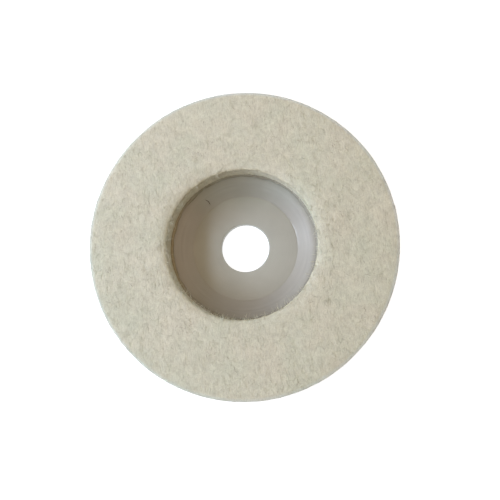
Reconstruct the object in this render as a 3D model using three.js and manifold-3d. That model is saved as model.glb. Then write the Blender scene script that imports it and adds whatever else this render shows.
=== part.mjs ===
// Felt polishing wheel for an angle grinder: 100 mm across, for a 16 mm spindle bore.
//
// Three bodies share one axis, +Z:
//   backing_plate   moulded plastic hub with a depressed centre, a flange and ribs behind it
//   adhesive_layer  film of glue on the flange, which shows as a thin line inside the felt's hole
//   felt_ring       ring of pressed wool felt, the polishing face, which overhangs the flange
//
// Millimetres. The origin is on the bore's axis in the plane of the hub's back face, and the
// polishing face looks along +Z.

import * as THREE from "three";
import { mergeVertices } from "three/addons/utils/BufferGeometryUtils.js";
import Module from "manifold-3d";

// ---- driving dimensions ----

const wheelRadius = 50;
const boreRadius = 8;

// heights, from the hub's back face upwards
const hubFloorThickness = 3;
const cupDepth = 3.7;
const flangeThickness = 2.5;
const adhesiveThickness = 0.3;
const feltThickness = 8.5;

// radii of the backing plate
const cupFloorRadius = 17.6;
const cupMouthRadius = 22.6;
const hubBackRadius = 19;
const hubRootRadius = 23.4;
const flangeRadius = 46;

// lip that runs round the back of the flange
const lipWidth = 1.8;
const lipHeight = 1;

// stiffening ribs behind the flange, from the hub out to the lip
const ribCount = 12;
const ribWidth = 1.8;
const ribHubHeight = 0.9;
const ribLipStep = 0.3;
const ribEmbed = 0.7;

// felt and glue
const feltHoleRadius = 24.3;
const feltOuterRounding = 1;
const feltInnerRounding = 0.5;
const feltBackRounding = 0.4;
const adhesiveInnerRadius = 24.1;
const adhesiveOuterRadius = 45.4;

// moulded corner radii
const boreEdgeRounding = 0.4;
const cupFloorFillet = 0.4;
const cupMouthRounding = 4.5;
const flangeEdgeRounding = 0.5;
const hubBackRounding = 0.6;
const hubRootFillet = 1;

// facets in a full turn, a multiple of the rib count, and in each rounded corner
const turnFacets = 96;
const cornerFacets = 3;

// ---- levels worked out from the dimensions ----

const flangeTop = hubFloorThickness + cupDepth;
const flangeBack = flangeTop - flangeThickness;
const lipBack = flangeBack - lipHeight;
const feltBack = flangeTop + adhesiveThickness;
const feltFace = feltBack + feltThickness;

// ---- profile and solid helpers ----

// Closed outline in (radius, height) from its sharp corners [radius, height, rounding]. Each
// corner with a rounding becomes an arc that meets both neighbouring edges at a tangent.
function roundedOutline(corners) {
  const points = [];
  corners.forEach(([radius, height, rounding = 0], index) => {
    const corner = new THREE.Vector2(radius, height);
    if (rounding === 0) {
      points.push(corner);
      return;
    }
    const before = corners[(index + corners.length - 1) % corners.length];
    const after = corners[(index + 1) % corners.length];
    const toBefore = new THREE.Vector2(before[0], before[1]).sub(corner).normalize();
    const toAfter = new THREE.Vector2(after[0], after[1]).sub(corner).normalize();
    const halfAngle = Math.acos(toBefore.dot(toAfter)) / 2;
    const centreDirection = toBefore.clone().add(toAfter).normalize();
    const centre = corner.clone().addScaledVector(centreDirection, rounding / Math.sin(halfAngle));
    const tangentLength = rounding / Math.tan(halfAngle);
    const arcStart = corner.clone().addScaledVector(toBefore, tangentLength).sub(centre);
    const arcEnd = corner.clone().addScaledVector(toAfter, tangentLength).sub(centre);
    const sweep = Math.atan2(arcStart.cross(arcEnd), arcStart.dot(arcEnd));
    for (let step = 0; step <= cornerFacets; step += 1) {
      const spoke = arcStart.clone().rotateAround(new THREE.Vector2(), (sweep * step) / cornerFacets);
      points.push(spoke.add(centre));
    }
  });
  points.push(points[0].clone());
  return points;
}

// Turns a closed outline, listed anticlockwise in (radius, height), about +Z.
function turned(outline) {
  const geometry = new THREE.LatheGeometry(outline, turnFacets);
  return geometry.rotateX(Math.PI / 2);
}

const wasm = await Module();
wasm.setup();

function toSolid(geometry) {
  const bare = geometry.clone();
  bare.deleteAttribute("normal");
  bare.deleteAttribute("uv");
  const welded = mergeVertices(bare);
  const mesh = new wasm.Mesh({
    numProp: 3,
    vertProperties: new Float32Array(welded.attributes.position.array),
    triVerts: new Uint32Array(welded.index.array),
  });
  return new wasm.Manifold(mesh);
}

function toGeometry(solid) {
  const { vertProperties, triVerts } = solid.getMesh();
  const geometry = new THREE.BufferGeometry();
  geometry.setAttribute("position", new THREE.BufferAttribute(vertProperties, 3));
  geometry.setIndex(new THREE.BufferAttribute(triVerts, 1));
  geometry.computeVertexNormals();
  return geometry;
}

// ---- the three bodies ----

// Flat hub floor round the bore, a conical cup wall, a flat flange under the felt, and a lip
// round the flange's back edge.
function plateShell() {
  const lipInnerRadius = flangeRadius - lipWidth;
  return turned(roundedOutline([
    [boreRadius, 0, boreEdgeRounding],
    [hubBackRadius, 0, hubBackRounding],
    [hubRootRadius, flangeBack, hubRootFillet],
    [lipInnerRadius, flangeBack],
    [lipInnerRadius, lipBack],
    [flangeRadius, lipBack, flangeEdgeRounding],
    [flangeRadius, flangeTop, flangeEdgeRounding],
    [cupMouthRadius, flangeTop, cupMouthRounding],
    [cupFloorRadius, hubFloorThickness, cupFloorFillet],
    [boreRadius, hubFloorThickness, boreEdgeRounding],
  ]));
}

// One rib: deep at the hub and shallow at the lip. Its ends and its top edge are sunk into the
// plate, and its slanted inner end stays behind the cup wall.
function ribAt(angle) {
  const outerEnd = flangeRadius - lipWidth + ribEmbed;
  const sunkTop = flangeBack + ribEmbed;
  const side = new THREE.Shape([
    new THREE.Vector2(hubBackRadius + ribEmbed / 2, ribHubHeight),
    new THREE.Vector2(outerEnd, lipBack + ribLipStep),
    new THREE.Vector2(outerEnd, sunkTop),
    new THREE.Vector2(hubRootRadius - ribEmbed, sunkTop),
  ]);
  const rib = new THREE.ExtrudeGeometry(side, { depth: ribWidth, bevelEnabled: false });
  rib.translate(0, 0, -ribWidth / 2);
  rib.rotateX(Math.PI / 2);
  rib.rotateZ(angle);
  return rib;
}

function backingPlate() {
  let solid = toSolid(plateShell());
  for (let index = 0; index < ribCount; index += 1) {
    solid = solid.add(toSolid(ribAt((index / ribCount) * 2 * Math.PI)));
  }
  return toGeometry(solid);
}

function adhesiveLayer() {
  return turned(roundedOutline([
    [adhesiveInnerRadius, flangeTop],
    [adhesiveOuterRadius, flangeTop],
    [adhesiveOuterRadius, feltBack],
    [adhesiveInnerRadius, feltBack],
  ]));
}

// Pressed felt, with its outer edge worn rounder than the edge of its hole.
function feltRing() {
  return turned(roundedOutline([
    [feltHoleRadius, feltBack],
    [wheelRadius, feltBack, feltBackRounding],
    [wheelRadius, feltFace, feltOuterRounding],
    [feltHoleRadius, feltFace, feltInnerRounding],
  ]));
}

// ---- assembly ----

function piece(name, geometry, look) {
  const mesh = new THREE.Mesh(geometry, new THREE.MeshStandardMaterial(look));
  mesh.name = name;
  return mesh;
}

const wheel = new THREE.Group();
wheel.add(piece("backing_plate", backingPlate(), { color: 0xaeada9, roughness: 0.42, metalness: 0 }));
wheel.add(piece("adhesive_layer", adhesiveLayer(), { color: 0x8c6f4a, roughness: 0.35, metalness: 0 }));
wheel.add(piece("felt_ring", feltRing(), { color: 0xd0cdbb, roughness: 0.95, metalness: 0 }));

export default wheel;
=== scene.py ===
import math

import bpy
import numpy as np
from mathutils import Matrix, Vector, noise


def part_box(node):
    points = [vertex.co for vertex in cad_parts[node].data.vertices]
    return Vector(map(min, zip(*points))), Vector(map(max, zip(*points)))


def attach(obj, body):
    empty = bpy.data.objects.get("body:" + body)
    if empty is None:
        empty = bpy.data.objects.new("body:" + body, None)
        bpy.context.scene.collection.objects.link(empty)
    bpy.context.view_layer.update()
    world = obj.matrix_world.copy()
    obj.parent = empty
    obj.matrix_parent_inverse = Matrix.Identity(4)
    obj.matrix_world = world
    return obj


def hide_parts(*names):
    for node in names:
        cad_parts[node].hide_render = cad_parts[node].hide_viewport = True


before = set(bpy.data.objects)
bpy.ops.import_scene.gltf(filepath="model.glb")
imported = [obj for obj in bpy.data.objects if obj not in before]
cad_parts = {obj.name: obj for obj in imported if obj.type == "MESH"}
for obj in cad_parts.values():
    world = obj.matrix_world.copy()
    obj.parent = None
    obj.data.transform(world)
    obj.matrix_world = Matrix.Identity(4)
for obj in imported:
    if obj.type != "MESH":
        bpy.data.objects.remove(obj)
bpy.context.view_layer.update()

# Felt polishing wheel: a pressed-wool ring glued to a moulded plastic plate with a depressed
# centre. Metres, +Z out of the polishing face, origin on the axis at the hub's back face.

MM = 0.001
TURN = 2 * math.pi


# ---- places, read from model.glb ----

def node_radii(node):
    """The smallest and largest radius of a CAD node's vertices about the wheel's axis."""
    radii = [math.hypot(v.co.x, v.co.y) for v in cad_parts[node].data.vertices]
    return min(radii), max(radii)


felt_hole, wheel_radius = node_radii("felt_ring")
felt_back, felt_face = (corner.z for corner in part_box("felt_ring"))
glue_outer = node_radii("adhesive_layer")[1]
bore_radius, flange_radius = node_radii("backing_plate")
flange_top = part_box("backing_plate")[1].z

# Sizes of the plate that its box doesn't give, as on the CAD node.
hub_floor = 3 * MM
flange_back = flange_top - 2.5 * MM
lip_back = flange_back - 1 * MM
lip_width = 1.8 * MM
cup_floor_radius = 17.6 * MM
cup_mouth_radius = 22.6 * MM
hub_back_radius = 19 * MM
hub_root_radius = 23.4 * MM
rib_count = 12
rib_width = 1.8 * MM
rib_hub_height = 0.9 * MM
rib_lip_height = lip_back + 0.3 * MM


# ---- camera and light ----

def look_frame(back):
    """Rotation of a camera whose view runs against back, with +Y upwards in its picture."""
    back = back.normalized()
    right = Vector((0, 1, 0)).cross(back).normalized()
    return Matrix((right, back.cross(right), back)).transposed().to_4x4()


def make_camera():
    """A phone held about a quarter of a metre over the felt, a little to the right and below."""
    distance = 0.25
    tilt = math.radians(9.6)
    azimuth = math.radians(-53.3)
    aside = math.sin(tilt)
    back = Vector((aside * math.cos(azimuth), aside * math.sin(azimuth), math.cos(tilt)))
    data = bpy.data.cameras.new("camera")
    data.sensor_width = 36
    data.lens = 56.3
    data.shift_x = 0.017
    data.shift_y = -0.0137
    data.clip_start = 0.01
    data.clip_end = 20
    camera = bpy.data.objects.new("camera", data)
    place = Matrix.Translation(Vector((0, 0, felt_face)) + distance * back)
    camera.matrix_world = place @ look_frame(back)
    bpy.context.scene.collection.objects.link(camera)
    bpy.context.scene.camera = camera


def area_light(name, place, size, energy, colour):
    """A rectangular lamp aimed at the wheel. place is its azimuth and elevation in degrees and its
    distance, and size is its width and height."""
    azimuth, elevation, distance = place
    width, height = size
    data = bpy.data.lights.new(name, "AREA")
    data.shape = "RECTANGLE"
    data.size = height
    data.size_y = width
    data.energy = energy
    data.color = colour
    lamp = bpy.data.objects.new(name, data)
    swing = Matrix.Rotation(math.radians(azimuth), 4, "Z")
    lower = Matrix.Rotation(math.radians(90 - elevation), 4, "Y")
    lamp.matrix_world = swing @ lower @ Matrix.Translation((0, 0, distance))
    lamp.visible_camera = False
    bpy.context.scene.collection.objects.link(lamp)


def make_light():
    """Cool window light from the left, a warm ceiling and lamp, and white cards on the right."""
    scene = bpy.context.scene
    scene.view_settings.view_transform = "Standard"
    world = bpy.data.worlds.new("room")
    world.use_nodes = True
    background = world.node_tree.nodes["Background"]
    background.inputs["Color"].default_value = (1.0, 0.9, 0.8, 1)
    background.inputs["Strength"].default_value = 0.03
    scene.world = world
    daylight = (0.79, 0.87, 1.0)
    card_white = (0.84, 0.92, 1.0)
    area_light("window_top", (181, 43.5, 0.6), (0.8, 0.08), 1.85, daylight)
    area_light("window_foot", (182, 24, 0.6), (0.25, 0.2), 1.75, daylight)
    area_light("ceiling", (90, 81, 0.5), (1.6, 1.6), 4.3, (1.0, 0.78, 0.53))
    area_light("room_lamp", (-15, 50, 0.6), (0.3, 0.2), 0.2, (1.0, 0.70, 0.42))
    # the cards are low strips round the right-hand side, an eighth of a turn apart
    for index, azimuth in enumerate(range(-70, 111, 45)):
        area_light(f"white_card_{index}", (azimuth, 1.7, 0.6), (0.47, 0.03), 0.25, card_white)


# ---- mesh helpers ----

def rounded_outline(corners, arc_steps):
    """Closed outline in (radius, height) from (radius, height, rounding) corners, as an array."""
    points = []
    for index, (radius, height, rounding) in enumerate(corners):
        corner = Vector((radius, height))
        to_before = (Vector(corners[index - 1][:2]) - corner).normalized()
        to_after = (Vector(corners[(index + 1) % len(corners)][:2]) - corner).normalized()
        half = to_before.angle(to_after) / 2
        centre = corner + (to_before + to_after).normalized() * (rounding / math.sin(half))
        start = corner + to_before * (rounding / math.tan(half)) - centre
        end = corner + to_after * (rounding / math.tan(half)) - centre
        sweep = math.atan2(start.x * end.y - start.y * end.x, start.dot(end))
        for step in range(arc_steps + 1):
            spoke = start.copy()
            spoke.rotate(Matrix.Rotation(sweep * step / arc_steps, 2))
            points.append(centre + spoke)
    return np.array([tuple(p) for p in points])


def divided(outline, step_at):
    """The closed outline with each edge split so that no step is longer than step_at(point)."""
    rows = []
    for start, end in zip(outline, np.roll(outline, -1, axis=0)):
        count = max(1, math.ceil(np.linalg.norm(end - start) / step_at((start + end) / 2)))
        for step in range(count):
            rows.append(start + (end - start) * step / count)
    return np.array(rows)


def outline_normals(outline):
    """Unit normals of a closed outline that is listed anticlockwise."""
    along = np.roll(outline, -1, axis=0) - np.roll(outline, 1, axis=0)
    outward = np.stack([along[:, 1], -along[:, 0]], axis=1)
    return outward / np.linalg.norm(outward, axis=1, keepdims=True)


def add_piece(name, points, faces, material):
    """A smooth-shaded mesh piece that rides on the wheel."""
    mesh = bpy.data.meshes.new(name)
    mesh.from_pydata(points.reshape(-1, 3).tolist(), [], faces)
    mesh.polygons.foreach_set("use_smooth", [True] * len(mesh.polygons))
    mesh.materials.append(material)
    piece = bpy.data.objects.new(name, mesh)
    bpy.context.scene.collection.objects.link(piece)
    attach(piece, "root")
    return piece


def ring_faces(rows, columns):
    """Quads of a grid that closes on itself both ways, facing out for an anticlockwise outline."""
    row, column = np.meshgrid(np.arange(rows), np.arange(columns), indexing="ij")
    next_row = (row + 1) % rows
    next_column = (column + 1) % columns
    corners = [(row, column), (row, next_column), (next_row, next_column), (next_row, column)]
    return np.stack([r * columns + c for r, c in corners], axis=-1).reshape(-1, 4).tolist()


def swept(radius, height, angle):
    """Points in space for arrays of radius, height and angle of one shape."""
    return np.stack([radius * np.cos(angle), radius * np.sin(angle), height], axis=-1)


def tube_piece(name, strands, thickness, material):
    """Thin closed three-sided tubes along strands, an array of (strand, point, xyz)."""
    count, length, _ = strands.shape
    # a direction that strands seldom follow, to set their sides by
    aslant = (0.31, 0.22, 0.92)
    along = np.gradient(strands, axis=1)
    side = np.cross(along, aslant)
    side /= np.linalg.norm(side, axis=2, keepdims=True)
    other = np.cross(along, side)
    other /= np.linalg.norm(other, axis=2, keepdims=True)
    taper = np.sqrt(np.clip(1 - np.linspace(-1, 1, length) ** 2, 0.08, 1))
    radius = thickness[:, None, None] / 2 * taper[None, :, None]
    thirds = (0, TURN / 3, 2 * TURN / 3)
    spokes = [math.cos(third) * side + math.sin(third) * other for third in thirds]
    rings = [strands + radius * spoke for spoke in spokes]
    first = np.arange(count)[:, None] * length * 3
    base = (first + np.arange(length - 1) * 3).reshape(-1, 1)
    faces = []
    for corner, after in ((0, 1), (1, 2), (2, 0)):
        faces += (base + [corner, after, after + 3, corner + 3]).tolist()
    faces += (first + [0, 2, 1]).tolist()
    faces += (first + (length - 1) * 3 + [0, 1, 2]).tolist()
    add_piece(name, np.stack(rings, axis=2), faces, material)


# ---- material helpers ----

class Nodes:
    """Short calls for the few node kinds that the materials here use."""

    def __init__(self, name):
        self.material = bpy.data.materials.new(name)
        self.material.use_nodes = True
        self.tree = self.material.node_tree
        self.shader = self.tree.nodes["Principled BSDF"]
        self.position = self.tree.nodes.new("ShaderNodeTexCoord").outputs["Object"]

    def put(self, socket, value):
        if isinstance(value, bpy.types.NodeSocket):
            self.tree.links.new(value, socket)
        else:
            socket.default_value = value

    def math(self, operation, first, second=0.0):
        node = self.tree.nodes.new("ShaderNodeMath")
        node.operation = operation
        self.put(node.inputs[0], first)
        self.put(node.inputs[1], second)
        return node.outputs[0]

    def add(self, *terms):
        total = terms[0]
        for term in terms[1:]:
            total = self.math("ADD", total, term)
        return total

    def times(self, first, second):
        return self.math("MULTIPLY", first, second)

    def one_minus(self, value):
        return self.math("SUBTRACT", 1.0, value)

    def component(self, axis):
        """One of the object coordinates: 0 for X, 1 for Y, 2 for Z."""
        apart = self.tree.nodes.new("ShaderNodeSeparateXYZ")
        self.put(apart.inputs[0], self.position)
        return apart.outputs[axis]

    def radius(self):
        """Distance from the wheel's axis."""
        squares = [self.math("POWER", self.component(axis), 2.0) for axis in (0, 1)]
        return self.math("SQRT", self.add(*squares))

    def along_x(self, value):
        """A vector that holds a value as its X."""
        node = self.tree.nodes.new("ShaderNodeCombineXYZ")
        self.put(node.inputs[0], value)
        return node.outputs[0]

    def shaded(self, colour, factor):
        """A colour multiplied by a number."""
        node = self.tree.nodes.new("ShaderNodeVectorMath")
        node.operation = "SCALE"
        self.put(node.inputs[0], colour)
        self.put(node.inputs["Scale"], factor)
        return node.outputs[0]

    def noise(self, vector, scale=1.0, detail=2.0, roughness=0.5, distortion=0.0):
        node = self.tree.nodes.new("ShaderNodeTexNoise")
        self.put(node.inputs["Vector"], vector)
        node.inputs["Scale"].default_value = scale
        node.inputs["Detail"].default_value = detail
        node.inputs["Roughness"].default_value = roughness
        node.inputs["Distortion"].default_value = distortion
        return node.outputs["Fac"]

    def strokes(self, length, width, angle, **look):
        """Noise drawn out into strokes that lie at an angle clockwise from X."""
        turn = self.tree.nodes.new("ShaderNodeMapping")
        turn.inputs["Rotation"].default_value = (0, 0, angle)
        self.put(turn.inputs["Vector"], self.position)
        stretch = self.tree.nodes.new("ShaderNodeVectorMath")
        stretch.operation = "MULTIPLY"
        self.put(stretch.inputs[0], turn.outputs["Vector"])
        stretch.inputs[1].default_value = (1 / length, 1 / width, 1 / width)
        return self.noise(stretch.outputs[0], **look)

    def span(self, value, low, high, to_low=0.0, to_high=1.0):
        """value carried from low..high to to_low..to_high, and held at the ends."""
        node = self.tree.nodes.new("ShaderNodeMapRange")
        self.put(node.inputs["Value"], value)
        node.inputs["From Min"].default_value = low
        node.inputs["From Max"].default_value = high
        node.inputs["To Min"].default_value = to_low
        node.inputs["To Max"].default_value = to_high
        return node.outputs["Result"]

    def mix(self, factor, first, second, blend="MIX"):
        node = self.tree.nodes.new("ShaderNodeMix")
        node.data_type = "RGBA"
        node.blend_type = blend
        self.put(node.inputs["Factor"], factor)
        self.put(node.inputs[6], first)
        self.put(node.inputs[7], second)
        return node.outputs[2]

    def tinted(self, colour, tint):
        """A colour multiplied by another, channel by channel."""
        return self.mix(1.0, colour, tint, "MULTIPLY")

    def bump(self, height, distance, strength=1.0):
        node = self.tree.nodes.new("ShaderNodeBump")
        node.inputs["Strength"].default_value = strength
        node.inputs["Distance"].default_value = distance
        self.put(node.inputs["Height"], height)
        self.tree.links.new(node.outputs["Normal"], self.shader.inputs["Normal"])

    def set(self, **values):
        for key, value in values.items():
            self.put(self.shader.inputs[key.replace("_", " ")], value)


def rgb(*channels):
    return (*channels, 1.0)


UNCHANGED = rgb(1, 1, 1)


# ---- stage ----

def stage_material(name, tone, near_glow, far_glow):
    """Matt white that also gives off light of its own: near_glow by the wheel, far_glow beyond."""
    nodes = Nodes(name)
    nodes.set(Base_Color=rgb(tone, tone, tone), Roughness=1.0, Specular_IOR_Level=0.0)
    away = nodes.span(nodes.radius(), 0.1, 0.5)
    nodes.set(Emission_Color=nodes.mix(away, near_glow, far_glow), Emission_Strength=1.0)
    return nodes.material


def make_stage():
    """A white sweep: a bright matt floor under the wheel, and a white backdrop beyond it."""
    shining = rgb(1.1, 1.1, 1.1)
    by_wheel = rgb(0.70, 0.73, 0.78)
    bpy.ops.mesh.primitive_circle_add(vertices=96, radius=3, fill_type="NGON")
    floor = bpy.context.object
    floor.name = "floor"
    floor.data.materials.append(stage_material("floor_white", 0.8, by_wheel, shining))
    bpy.ops.mesh.primitive_uv_sphere_add(segments=64, ring_count=32, radius=3)
    backdrop = bpy.context.object
    backdrop.name = "backdrop"
    backdrop.data.materials.append(stage_material("backdrop_white", 0.0, shining, shining))
    for seen_by in ("visible_diffuse", "visible_glossy", "visible_transmission", "visible_shadow"):
        setattr(backdrop, seen_by, False)


# ---- felt ----

def crossing_fibres(nodes, length, width):
    """Fibre marks that cross each other: strokes in four directions, the strongest one showing."""
    strongest = None
    for index in range(4):
        angle = (index + 0.3) * math.pi / 4
        layer = nodes.strokes(length, width, angle, detail=1.5, roughness=0.6, distortion=0.6)
        strongest = layer if strongest is None else nodes.math("MAXIMUM", strongest, layer)
    return strongest


def wool_tint(nodes, upper):
    """Undyed wool: greenish white, with faint pinkish patches, and a little pinker at the top."""
    greenish = rgb(0.740, 0.787, 0.693)
    pinkish = rgb(0.776, 0.789, 0.700)
    patches = nodes.noise(nodes.position, scale=70, detail=4, roughness=0.55)
    warmth = nodes.add(patches, nodes.times(upper, 0.08))
    return nodes.mix(nodes.span(warmth, 0.36, 0.64), greenish, pinkish)


def wool_shade(nodes, fibres, upper, hole_wall):
    """How light the wool is, about 1: clouds, crossing fibres, the lie of the carding, dark flecks,
    fine specks, and the rougher cut wall of the hole."""
    clouds = nodes.noise(nodes.position, scale=420, detail=3, roughness=0.55)
    specks = nodes.noise(nodes.position, scale=3000, detail=2, roughness=0.7)
    carded = nodes.strokes(1.4 * MM, 0.3 * MM, math.radians(86), detail=2)
    flecks = nodes.strokes(1.8 * MM, 0.3 * MM, math.radians(70), detail=1)
    cut = nodes.noise(nodes.position, scale=800, detail=3, roughness=0.6)
    return nodes.add(
        nodes.span(clouds, 0.3, 0.7, 0.926, 1.026),
        nodes.span(fibres, 0.5, 0.8, -0.08, 0.095),
        nodes.span(specks, 0.3, 0.7, -0.02, 0.02),
        nodes.span(carded, 0.3, 0.7, -0.06, 0.06),
        nodes.span(flecks, 0.6, 0.76, 0.005, -0.1),
        nodes.times(upper, 0.025),
        nodes.times(hole_wall, nodes.span(cut, 0.3, 0.7, -0.12, 0.12)),
    )


def wool_edge_tint(nodes, hole_wall, rolled_edge):
    """The cut wall of the hole is warmer than the face, a painted warm shade, and the rolled edge of
    the rim is greyer and bluer, a painted cool light, most of all at the upper right."""
    # painted cool light on the rolled edge, strongest towards the upper right
    upper_right = nodes.add(nodes.component(0), nodes.times(nodes.component(1), 0.6))
    painted_cool_light_share = nodes.span(upper_right, -10 * MM, 30 * MM)
    grey = nodes.mix(painted_cool_light_share, rgb(0.985, 1.025, 1.10), rgb(1.0, 1.055, 1.2))
    # the hole's wall gets a painted warm shade, the rolled edge the painted cool light
    return nodes.mix(rolled_edge, nodes.mix(hole_wall, UNCHANGED, rgb(1.03, 1.0, 0.94)), grey)


def felt_material():
    nodes = Nodes("felt_wool")
    radius = nodes.radius()
    upper = nodes.span(nodes.component(1), 0, wheel_radius)
    near_face = nodes.span(nodes.component(2), felt_face - 1.2 * MM, felt_face - 0.6 * MM)
    hole_wall = nodes.span(radius, felt_hole + 0.1 * MM, felt_hole + 0.6 * MM, 1, 0)
    at_rim = nodes.span(radius, wheel_radius - 1.2 * MM, wheel_radius - 0.5 * MM)
    rolled_edge = nodes.times(at_rim, near_face)
    at_wall = nodes.span(radius, wheel_radius - 0.5 * MM, wheel_radius - 0.1 * MM)
    painted_shade_outer_wall = nodes.times(at_wall, nodes.one_minus(near_face))
    fibres = crossing_fibres(nodes, 2.6 * MM, 0.24 * MM)
    colour = nodes.tinted(wool_tint(nodes, upper), wool_edge_tint(nodes, hole_wall, rolled_edge))
    shade = wool_shade(nodes, fibres, upper, hole_wall)
    # painted shade: the outer wall is a little darker than the face
    shade = nodes.times(shade, nodes.one_minus(nodes.times(painted_shade_outer_wall, 0.15)))
    nodes.set(Base_Color=nodes.shaded(colour, shade))
    nodes.set(Subsurface_Weight=0.15, Subsurface_Radius=(1.0, 0.9, 0.8), Subsurface_Scale=0.8 * MM)
    nodes.set(Roughness=0.95, Specular_IOR_Level=0.2, Sheen_Weight=0.2, Sheen_Roughness=0.6)
    grain = nodes.noise(nodes.position, scale=3200, detail=3, roughness=0.75)
    nodes.bump(nodes.add(nodes.times(fibres, 0.8), nodes.times(grain, 0.9)), 0.11 * MM)
    return nodes.material


def felt_relief(point):
    """Height of the felt's surface over its plain shape at a point, in metres."""
    swell = noise.noise(point / (17 * MM)) * 0.10
    lumps = noise.fractal(point / (2.4 * MM), 0.9, 2.0, 3) * 0.035
    length = 4.5 * MM
    width = 0.9 * MM
    strands = 0.0
    for angle in (0.3, 1.15, 1.9, 2.7):
        along = point.x * math.cos(angle) + point.y * math.sin(angle)
        across = point.y * math.cos(angle) - point.x * math.sin(angle)
        layer = Vector((along / length, across / width, point.z / width + 9 * angle))
        strands = max(strands, noise.noise(layer))
    return (swell + lumps + hole_wear(point) + strands * 0.04 - 0.04) * MM


def hole_wear(point):
    """In millimetres: the hole's wall and its edge are ragged, and worn back on the left."""
    reach = 0.9 * MM
    radius = math.hypot(point.x, point.y)
    near_hole = min(max((felt_hole + reach - radius) / reach, 0), 1)
    ragged = noise.fractal(point / (1.0 * MM), 0.7, 2.0, 2) * 0.11
    leftward = max(0, -(0.91 * point.x + 0.42 * point.y) / radius)
    return (ragged - leftward * 0.42) * near_hole


def arc(centre, size, start, end, steps):
    """Points of a circle's arc in (radius, height), from start to end degrees."""
    angle = np.radians(np.linspace(start, end, steps + 1))
    return np.stack([centre[0] + size * np.cos(angle), centre[1] + size * np.sin(angle)], axis=1)


def roll(inside, width, fall):
    """How far a round edge has fallen at distances inside it."""
    return fall * (1 - np.sqrt(1 - np.clip(1 - inside / width, 0, 1) ** 2))


def sag(inside, width, fall):
    """How far the face has sunk softly at distances inside an edge."""
    return fall * np.clip(1 - inside / width, 0, 1) ** 2


def felt_outline():
    """The felt's cross-section: cut square, with soft edges on the polishing face."""
    back_round = 0.35 * MM
    edge_width = 3 * MM
    # steps that get finer towards each edge, with even ones between
    inset = (1 - np.cos(np.linspace(0, math.pi / 2, 10))) * edge_width
    middle = np.arange(felt_hole + 3.4 * MM, wheel_radius - 3.2 * MM, 0.4 * MM)[::-1]
    radius = np.concatenate([wheel_radius - inset, middle, felt_hole + inset[::-1]])
    from_rim = wheel_radius - radius
    from_hole = radius - felt_hole
    drop = roll(from_rim, 1.7 * MM, 0.38 * MM) + sag(from_rim, 6 * MM, 0.14 * MM)
    drop += roll(from_hole, 0.8 * MM, 0.25 * MM) + sag(from_hole, 4.8 * MM, 0.56 * MM)
    drop += sag(from_hole, 2.8 * MM, 0.22 * MM)
    back_hole = (felt_hole + back_round / 2, felt_back + back_round / 2)
    back_rim = (wheel_radius - back_round, felt_back + back_round)
    return np.concatenate([
        arc(back_hole, back_round / 2, 180, 270, 2),
        arc(back_rim, back_round, -90, 0, 3),
        np.stack([radius, felt_face - drop], axis=1),
    ])


def make_felt(material):
    """The pressed felt ring as one closed skin with a lumpy, fibrous surface."""
    glued = felt_back + 0.01 * MM
    # grid steps, long where the glue hides the felt
    fine = 0.4 * MM
    hidden = 1.6 * MM

    def step_at(point):
        return hidden if point[1] < glued and point[0] < glue_outer - 1 * MM else fine

    outline = divided(felt_outline(), step_at)
    normals = outline_normals(outline)
    columns = 590
    angle = np.arange(columns) * TURN / columns
    points = swept(outline[:, :1], outline[:, 1:] + 0 * angle, angle + 0 * outline[:, :1])
    normal = swept(normals[:, :1], normals[:, 1:] + 0 * angle, angle + 0 * normals[:, :1])
    relief = reliefs(points)
    relief[(outline[:, 1] < glued) & (outline[:, 0] < glue_outer)] = 0
    points += normal * relief[:, :, None]
    piece = add_piece("felt_wool_ring", points, ring_faces(len(outline), columns), material)
    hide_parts("felt_ring")


def reliefs(points):
    """felt_relief at every point of an array of (..., xyz)."""
    flat = points.reshape(-1, 3)
    return np.array([felt_relief(Vector(point)) for point in flat]).reshape(points.shape[:-1])


class FeltSkin:
    """Places on the felt by how far along its section they are, from the foot of the hole's wall
    up, out over the face and down the outside, and by their angle about the axis."""

    def __init__(self):
        outline = divided(felt_outline(), lambda point: 0.2 * MM)
        normals = outline_normals(outline)
        shown = outline[:, 1] > felt_back + 0.3 * MM
        self.outline = outline[shown][::-1]
        self.normals = normals[shown][::-1]
        steps = np.linalg.norm(np.diff(self.outline, axis=0), axis=1)
        self.reach = np.concatenate([[0], np.cumsum(steps)])

    def along(self, radius):
        """How far along the section the face has a radius."""
        face = self.outline[:, 1] > felt_face - 1 * MM
        return np.interp(radius, self.outline[face, 0], self.reach[face])

    def place(self, reach, angle, lift):
        """Points lift above the felt's surface, and the surface's outward direction there."""
        columns = np.concatenate([self.outline, self.normals], axis=1).T
        radius, height, outward, upward = (np.interp(reach, self.reach, column) for column in columns)
        points = swept(radius, height, angle)
        normal = swept(outward, upward, angle)
        return points + normal * (reliefs(points) + lift)[..., None], normal


def lying_strands(skin, generator, reach, angle, length, lift, steps=5):
    """Gently bowed strands on the felt's surface, with both ends sunk into it. Half of them lean
    the way that the wool was carded."""
    count = len(reach)
    sunk = 0.03 * MM
    carded = generator.normal(math.radians(-75), math.radians(35), count)
    heading = np.where(generator.random(count) < 0.5, carded, generator.uniform(0, TURN, count)) - angle
    size = generator.uniform(*length, count)[:, None]
    bow = generator.normal(0, 0.35, count)[:, None]
    step = np.linspace(-0.5, 0.5, steps)
    ahead = size * step
    aside = size * bow * step ** 2
    heading = heading[:, None]
    out = ahead * np.cos(heading) - aside * np.sin(heading)
    around = ahead * np.sin(heading) + aside * np.cos(heading)
    radius = np.interp(reach, skin.reach, skin.outline[:, 0])[:, None]
    arch = generator.uniform(*lift, count)[:, None] * (1 - 4 * step ** 2) - sunk
    stretch = np.clip(reach[:, None] + out, 0, skin.reach[-1])
    points, _ = skin.place(stretch, angle[:, None] + around / radius, arch)
    return points


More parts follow.
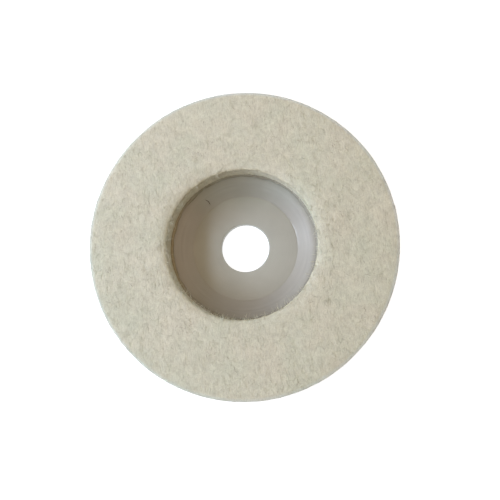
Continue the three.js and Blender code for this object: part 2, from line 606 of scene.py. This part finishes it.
def make_nap(name, skin, seed, count, length, thickness, material):
    """Matted wool fibres over the whole of the felt that shows. length and thickness are ranges."""
    generator = np.random.default_rng(seed)
    # drawn evenly along the section, then thinned where the circles are short, for an even cover
    draws = 4 * count
    reach = generator.uniform(0, skin.reach[-1], draws)
    radius = np.interp(reach, skin.reach, skin.outline[:, 0])
    reach = reach[generator.random(draws) < radius / wheel_radius][:count]
    angle = generator.uniform(0, TURN, count)
    strands = lying_strands(skin, generator, reach, angle, length, (0.02 * MM, 0.1 * MM))
    tube_piece(name, strands, generator.uniform(*thickness, count), material)


def make_kemp(skin, material):
    """Coarse dark hairs, most of them in loose tufts."""
    generator = np.random.default_rng(5)
    tufts = 50
    hairs = 6
    count = tufts * hairs
    inner = skin.along(felt_hole + 2 * MM)
    outer = skin.along(wheel_radius - 2 * MM)
    reach = np.repeat(generator.uniform(inner, outer, tufts), hairs)
    reach = np.clip(reach + generator.normal(0, 1.3 * MM, count), inner, outer)
    angle = np.repeat(generator.uniform(0, TURN, tufts), hairs)
    angle = angle + generator.normal(0, 0.04, count)
    length = (0.5 * MM, 2.2 * MM)
    lift = (0.01 * MM, 0.07 * MM)
    strands = lying_strands(skin, generator, reach, angle, length, lift, steps=6)
    thickness = generator.uniform(0.03, 0.08, count) * MM
    tube_piece("felt_kemp_hairs", strands, thickness, material)


def standing_strands(skin, generator, reach, angle, length, lean, inward=0.0):
    """Free fibres that rise from the felt and bend over, lean being how far they tip on average
    and inward how far they all tip towards the wheel's axis."""
    count = len(reach)
    sunk = 0.05 * MM
    root, normal = skin.place(reach, angle, 0 * reach - sunk)
    tip = generator.normal(0, 1, (count, 3))
    tip /= np.linalg.norm(tip, axis=1, keepdims=True)
    start = normal + lean * tip - inward * swept(1, 0 * angle, angle)
    start /= np.linalg.norm(start, axis=1, keepdims=True)
    bend = generator.normal(0, 0.5, (count, 3))
    step = np.linspace(0, 1, 5)[None, :, None]
    size = generator.uniform(*length, count)[:, None, None]
    return root[:, None] + size * (step * start[:, None] + step ** 2 * bend[:, None])


def make_fuzz(skin, material):
    """Loose fibre ends along both edges of the polishing face. Round the hole they lean inwards,
    and half of them are at its lower left."""
    generator = np.random.default_rng(37)
    outer_count = 1800
    inner_count = 620
    reach = generator.normal(skin.along(wheel_radius - 0.8 * MM), 1.2 * MM, outer_count)
    reach = np.clip(reach, 0, skin.reach[-1])
    angle = generator.uniform(0, TURN, outer_count)
    outer = standing_strands(skin, generator, reach, angle, (0.3 * MM, 1.2 * MM), 0.9)
    reach = generator.normal(skin.along(felt_hole + 0.4 * MM), 0.5 * MM, inner_count)
    reach = np.clip(reach, 0, skin.reach[-1])
    lower_left = generator.normal(math.radians(240), math.radians(45), inner_count // 2)
    anywhere = generator.uniform(0, TURN, inner_count - inner_count // 2)
    angle = np.concatenate([anywhere, lower_left])
    inner = standing_strands(skin, generator, reach, angle, (0.5 * MM, 1.7 * MM), 0.8, 0.8)
    fine = generator.uniform(0.02, 0.045, outer_count)
    coarse = generator.uniform(0.05, 0.13, inner_count)
    thickness = np.concatenate([fine, coarse]) * MM
    tube_piece("felt_fuzz", np.concatenate([outer, inner]), thickness, material)


def make_lint(material):
    """One stray dark hair that lies on the side of the cup."""
    step = np.linspace(-0.5, 0.5, 7)
    centre = swept(19.9 * MM, 0, math.radians(129))
    heading = math.radians(-45)
    thickness = 0.24 * MM
    lift = 0.07 * MM
    along = 2.1 * MM * step
    aside = 0.35 * MM * (1 - 4 * step ** 2)
    x = centre[0] + along * math.cos(heading) - aside * math.sin(heading)
    y = centre[1] + along * math.sin(heading) + aside * math.cos(heading)
    slope = (flange_top - hub_floor) / (cup_mouth_radius - cup_floor_radius)
    z = hub_floor + (np.hypot(x, y) - cup_floor_radius) * slope + lift
    strand = np.stack([x, y, z], axis=1)
    tube_piece("stray_hair", strand[None], np.array([thickness]), material)


def hair_material(name, dark, pale):
    nodes = Nodes(name)
    tone = nodes.noise(nodes.position, scale=350, detail=1)
    nodes.set(Base_Color=nodes.mix(nodes.span(tone, 0.35, 0.65), dark, pale))
    nodes.set(Roughness=0.7, Specular_IOR_Level=0.3)
    return nodes.material


# ---- backing plate ----

def plastic_tint(nodes, radius, cup):
    """Grey plastic, paler and cooler on the hub's floor from painted light, most of all round the
    bore. It is a little cooler at the top, and warmer on the left from painted warm shade. cup is 0
    on the hub's floor and 1 past it."""
    cloud = nodes.noise(nodes.position, scale=160, detail=3)
    darker = rgb(0.405, 0.401, 0.383)
    paler = rgb(0.426, 0.421, 0.402)
    grey = nodes.mix(nodes.span(cloud, 0.35, 0.65), darker, paler)
    # painted light: the hub's floor is paler and cooler, most of all round the bore
    outwards = nodes.span(radius, bore_radius, cup_floor_radius)
    painted_floor_light = nodes.mix(outwards, rgb(1.13, 1.23, 1.28), rgb(1.04, 1.07, 1.06))
    # a little cooler at the top, and a painted warm shade that warms the left side
    top = nodes.span(nodes.component(1), 11 * MM, 18 * MM)
    left = nodes.span(nodes.component(0), -20 * MM, -14 * MM, 1, 0)
    cooler = nodes.mix(top, UNCHANGED, rgb(0.96, 1.02, 1.02))
    painted_shade_tint = nodes.mix(left, cooler, rgb(1.07, 1.035, 1.035))
    return nodes.tinted(nodes.tinted(grey, nodes.mix(cup, painted_floor_light, UNCHANGED)), painted_shade_tint)


def polished_corner(nodes, radius):
    """1 where wear has polished the corner of the cup's floor, on its right, and 0 elsewhere."""
    from_corner = nodes.math("ABSOLUTE", nodes.math("SUBTRACT", radius, cup_floor_radius))
    rightward = nodes.add(nodes.times(nodes.component(0), 0.82), nodes.times(nodes.component(1), 0.57))
    at_corner = nodes.span(from_corner, 0.25 * MM, 0.6 * MM, 1, 0)
    return nodes.times(nodes.span(rightward, 14 * MM, 17 * MM), at_corner)


def plastic_material():
    nodes = Nodes("moulded_plastic")
    radius = nodes.radius()
    cup = nodes.span(radius, cup_floor_radius - 0.6 * MM, cup_floor_radius + 0.3 * MM)
    # rings left by turning, coarse and fine, that show in patches on the cup
    coarse = nodes.noise(nodes.along_x(radius), scale=1100, detail=2)
    fine = nodes.noise(nodes.along_x(radius), scale=4200, detail=2)
    patchy = nodes.span(nodes.noise(nodes.position, scale=120, detail=1), 0.4, 0.6)
    scuffs = nodes.times(nodes.times(patchy, cup), nodes.span(coarse, 0.35, 0.65, -0.05, 0.05))
    # painted shade: the lower side is a little darker
    painted_shade_lower_side = nodes.span(nodes.component(1), -22 * MM, -9 * MM, 0.88, 1.0)
    nodes.set(Base_Color=nodes.shaded(plastic_tint(nodes, radius, cup), nodes.add(scuffs, painted_shade_lower_side)))
    smear = nodes.noise(nodes.position, scale=900, detail=4, roughness=0.6)
    polish = nodes.one_minus(nodes.times(polished_corner(nodes, radius), 0.6))
    nodes.set(Roughness=nodes.times(polish, nodes.span(smear, 0.3, 0.7, 0.38, 0.5)))
    nodes.set(Specular_IOR_Level=0.45)
    marks = nodes.add(nodes.times(fine, 0.2), nodes.times(coarse, 2.0), nodes.times(smear, 0.4))
    nodes.bump(marks, 0.05 * MM, 0.6)
    return nodes.material


def rib_lines(radius, follow):
    """Angles of the plate's grid lines at one radius: packed round each rib where follow is 1, and
    evenly spaced where it is 0."""
    # distances from the middle of a rib, closest together at its side
    near = np.array([0, 0.45, 0.7, 0.82, 0.9, 0.98, 1.1, 1.3, 1.7, 2.3]) * MM
    half_pitch = TURN / rib_count / 2
    beside = np.arcsin(near / radius)
    between = beside[-1] + (half_pitch - beside[-1]) * np.arange(1, 5) / 5
    packed = np.concatenate([beside, between])
    even = half_pitch * np.arange(len(packed)) / len(packed)
    half = packed * follow + even * (1 - follow)
    sector = np.concatenate([half, [half_pitch], 2 * half_pitch - half[:0:-1]])
    return np.concatenate([sector + index * 2 * half_pitch for index in range(rib_count)])


def ribbed(radius, height, angle):
    """Height of the plate's back once the ribs are merged into it with a small fillet."""
    lip_inner = flange_radius - lip_width
    pitch = TURN / rib_count
    side_slope = 8
    crest_rounding = 0.07 * MM
    off_centre = np.abs(np.sin((angle + pitch / 2) % pitch - pitch / 2))
    aside = radius * off_centre - rib_width / 2
    share = np.clip((radius - hub_back_radius) / (lip_inner - hub_back_radius), 0, 1)
    crest = rib_hub_height + (rib_lip_height - rib_hub_height) * share
    rib = crest + side_slope * (aside + np.sqrt(aside ** 2 + crest_rounding ** 2)) / 2
    before_lip = np.clip((lip_inner - 0.3 * MM - radius) / (0.5 * MM), 0, 1)
    fillet = 0.45 * MM * before_lip * np.clip(height / MM, 0, 1)
    return (height + rib - np.sqrt((height - rib) ** 2 + fillet ** 2)) / 2


def make_plate(material):
    """The moulded plate: hub floor, cup, flange, lip and ribs in one closed skin."""
    lip_inner = flange_radius - lip_width
    draft = 0.12 * MM
    ribs_start = 13 * MM
    outline = divided(rounded_outline([
        (bore_radius, 0, 0.4 * MM),
        (hub_back_radius, 0, 0.6 * MM),
        (hub_root_radius, flange_back, 1 * MM),
        (lip_inner, flange_back, 0.3 * MM),
        (lip_inner + draft, lip_back, 0.2 * MM),
        (flange_radius, lip_back, 0.5 * MM),
        (flange_radius, flange_top, 0.5 * MM),
        (cup_mouth_radius, flange_top, 4.5 * MM),
        (cup_floor_radius, hub_floor, 0.4 * MM),
        (bore_radius, hub_floor, 0.4 * MM),
    ], 6), lambda point: 0.6 * MM)
    # the outline starts at the bore and runs out along the back first
    back_end = np.argmax(outline[:, 0] > flange_radius - 0.001 * MM)
    rows = []
    for index, (radius, height) in enumerate(outline):
        at_back = index <= back_end and radius > ribs_start
        fade_in = np.clip((radius - ribs_start) / (5 * MM), 0, 1)
        fade_out = np.clip((flange_radius - radius) / lip_width, 0, 1)
        angle = rib_lines(radius, fade_in * fade_out if at_back else 0.0)
        if at_back and hub_back_radius - 0.5 * MM < radius < lip_inner + draft:
            rows.append(swept(radius, ribbed(radius, height, angle), angle))
        else:
            rows.append(swept(radius, height + 0 * angle, angle))
    points = np.array(rows)
    faces = ring_faces(len(outline), points.shape[1])
    piece = add_piece("moulded_backing_plate", points, faces, material)
    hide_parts("backing_plate")


# ---- glue ----

def glue_material():
    nodes = Nodes("glue_and_painted_shade")
    # the glue's dark grey is partly its own colour and partly painted shade, for the dark line at the
    # foot of the felt's hole
    cloud = nodes.noise(nodes.position, scale=600, detail=3)
    tone = nodes.mix(nodes.span(cloud, 0.3, 0.7), rgb(0.315, 0.305, 0.262), rgb(0.38, 0.38, 0.338))
    # painted warm shade: the glue is browner on the left
    warm_shade_left = nodes.span(nodes.component(0), -24 * MM, -16 * MM, 1, 0)
    painted_shade_tint = nodes.mix(warm_shade_left, UNCHANGED, rgb(1.1, 0.95, 0.74))
    nodes.set(Base_Color=nodes.tinted(tone, painted_shade_tint))
    nodes.set(Roughness=0.4, Specular_IOR_Level=0.4)
    nodes.bump(nodes.noise(nodes.position, scale=1500, detail=2), 0.05 * MM, 0.5)
    return nodes.material


def wavy(angle, size, seed):
    """Smooth random waves round the wheel, from about -1 to 1, size ripples to a turn."""
    values = []
    for turn in angle:
        place = Vector((math.cos(turn) * size / TURN, math.sin(turn) * size / TURN, seed))
        values.append(noise.fractal(place, 0.7, 2.0, 3))
    return np.array(values)


def make_glue(material):
    """The film under the felt, with a hollow bead at the foot of the hole and a thin outer one."""
    columns = 480
    angle = np.arange(columns) * TURN / columns
    level = 0 * angle
    reach = (0.75 + 0.3 * wavy(angle, 40, 3.1)) * MM
    climb = (0.42 + 0.2 * wavy(angle, 60, 7.7)) * MM
    bulge = (0.25 + 0.35 * wavy(angle, 50, 12.4)) * MM
    skin = 0.01 * MM
    low = flange_top + skin
    high = felt_back - skin
    foot = felt_hole + 0.1 * MM
    rows = [
        (glue_outer + bulge * 0.3, low + level),
        (glue_outer + bulge, (low + high) / 2 + level),
        (glue_outer + bulge * 0.2, high + level),
        (felt_hole + 0.3 * MM + level, high + level),
    ]
    for turn in np.linspace(0, math.pi / 2, 7)[:-1]:
        rise = climb * (1 - math.sin(turn)) ** 1.3
        rows.append((foot - reach * (1 - math.cos(turn)), high + rise))
    rows.append((foot - reach, low + level))
    points = np.array([swept(radius, height, angle) for radius, height in rows])
    piece = add_piece("glue_film", points, ring_faces(len(rows), columns), material)
    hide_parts("adhesive_layer")


# ---- assembly ----

make_camera()
make_stage()
make_light()
wool = felt_material()
make_felt(wool)
felt_skin = FeltSkin()
make_nap("felt_nap", felt_skin, 11, 5000, (1.2 * MM, 3.2 * MM), (0.05 * MM, 0.1 * MM), wool)
make_nap("felt_fine_nap", felt_skin, 29, 7500, (2.0 * MM, 5.0 * MM), (0.03 * MM, 0.06 * MM), wool)
make_fuzz(felt_skin, wool)
make_kemp(felt_skin, hair_material("kemp_hair", rgb(0.20, 0.17, 0.13), rgb(0.50, 0.46, 0.39)))
make_lint(hair_material("stray_hair", rgb(0.03, 0.02, 0.015), rgb(0.06, 0.045, 0.035)))
make_plate(plastic_material())
make_glue(glue_material())
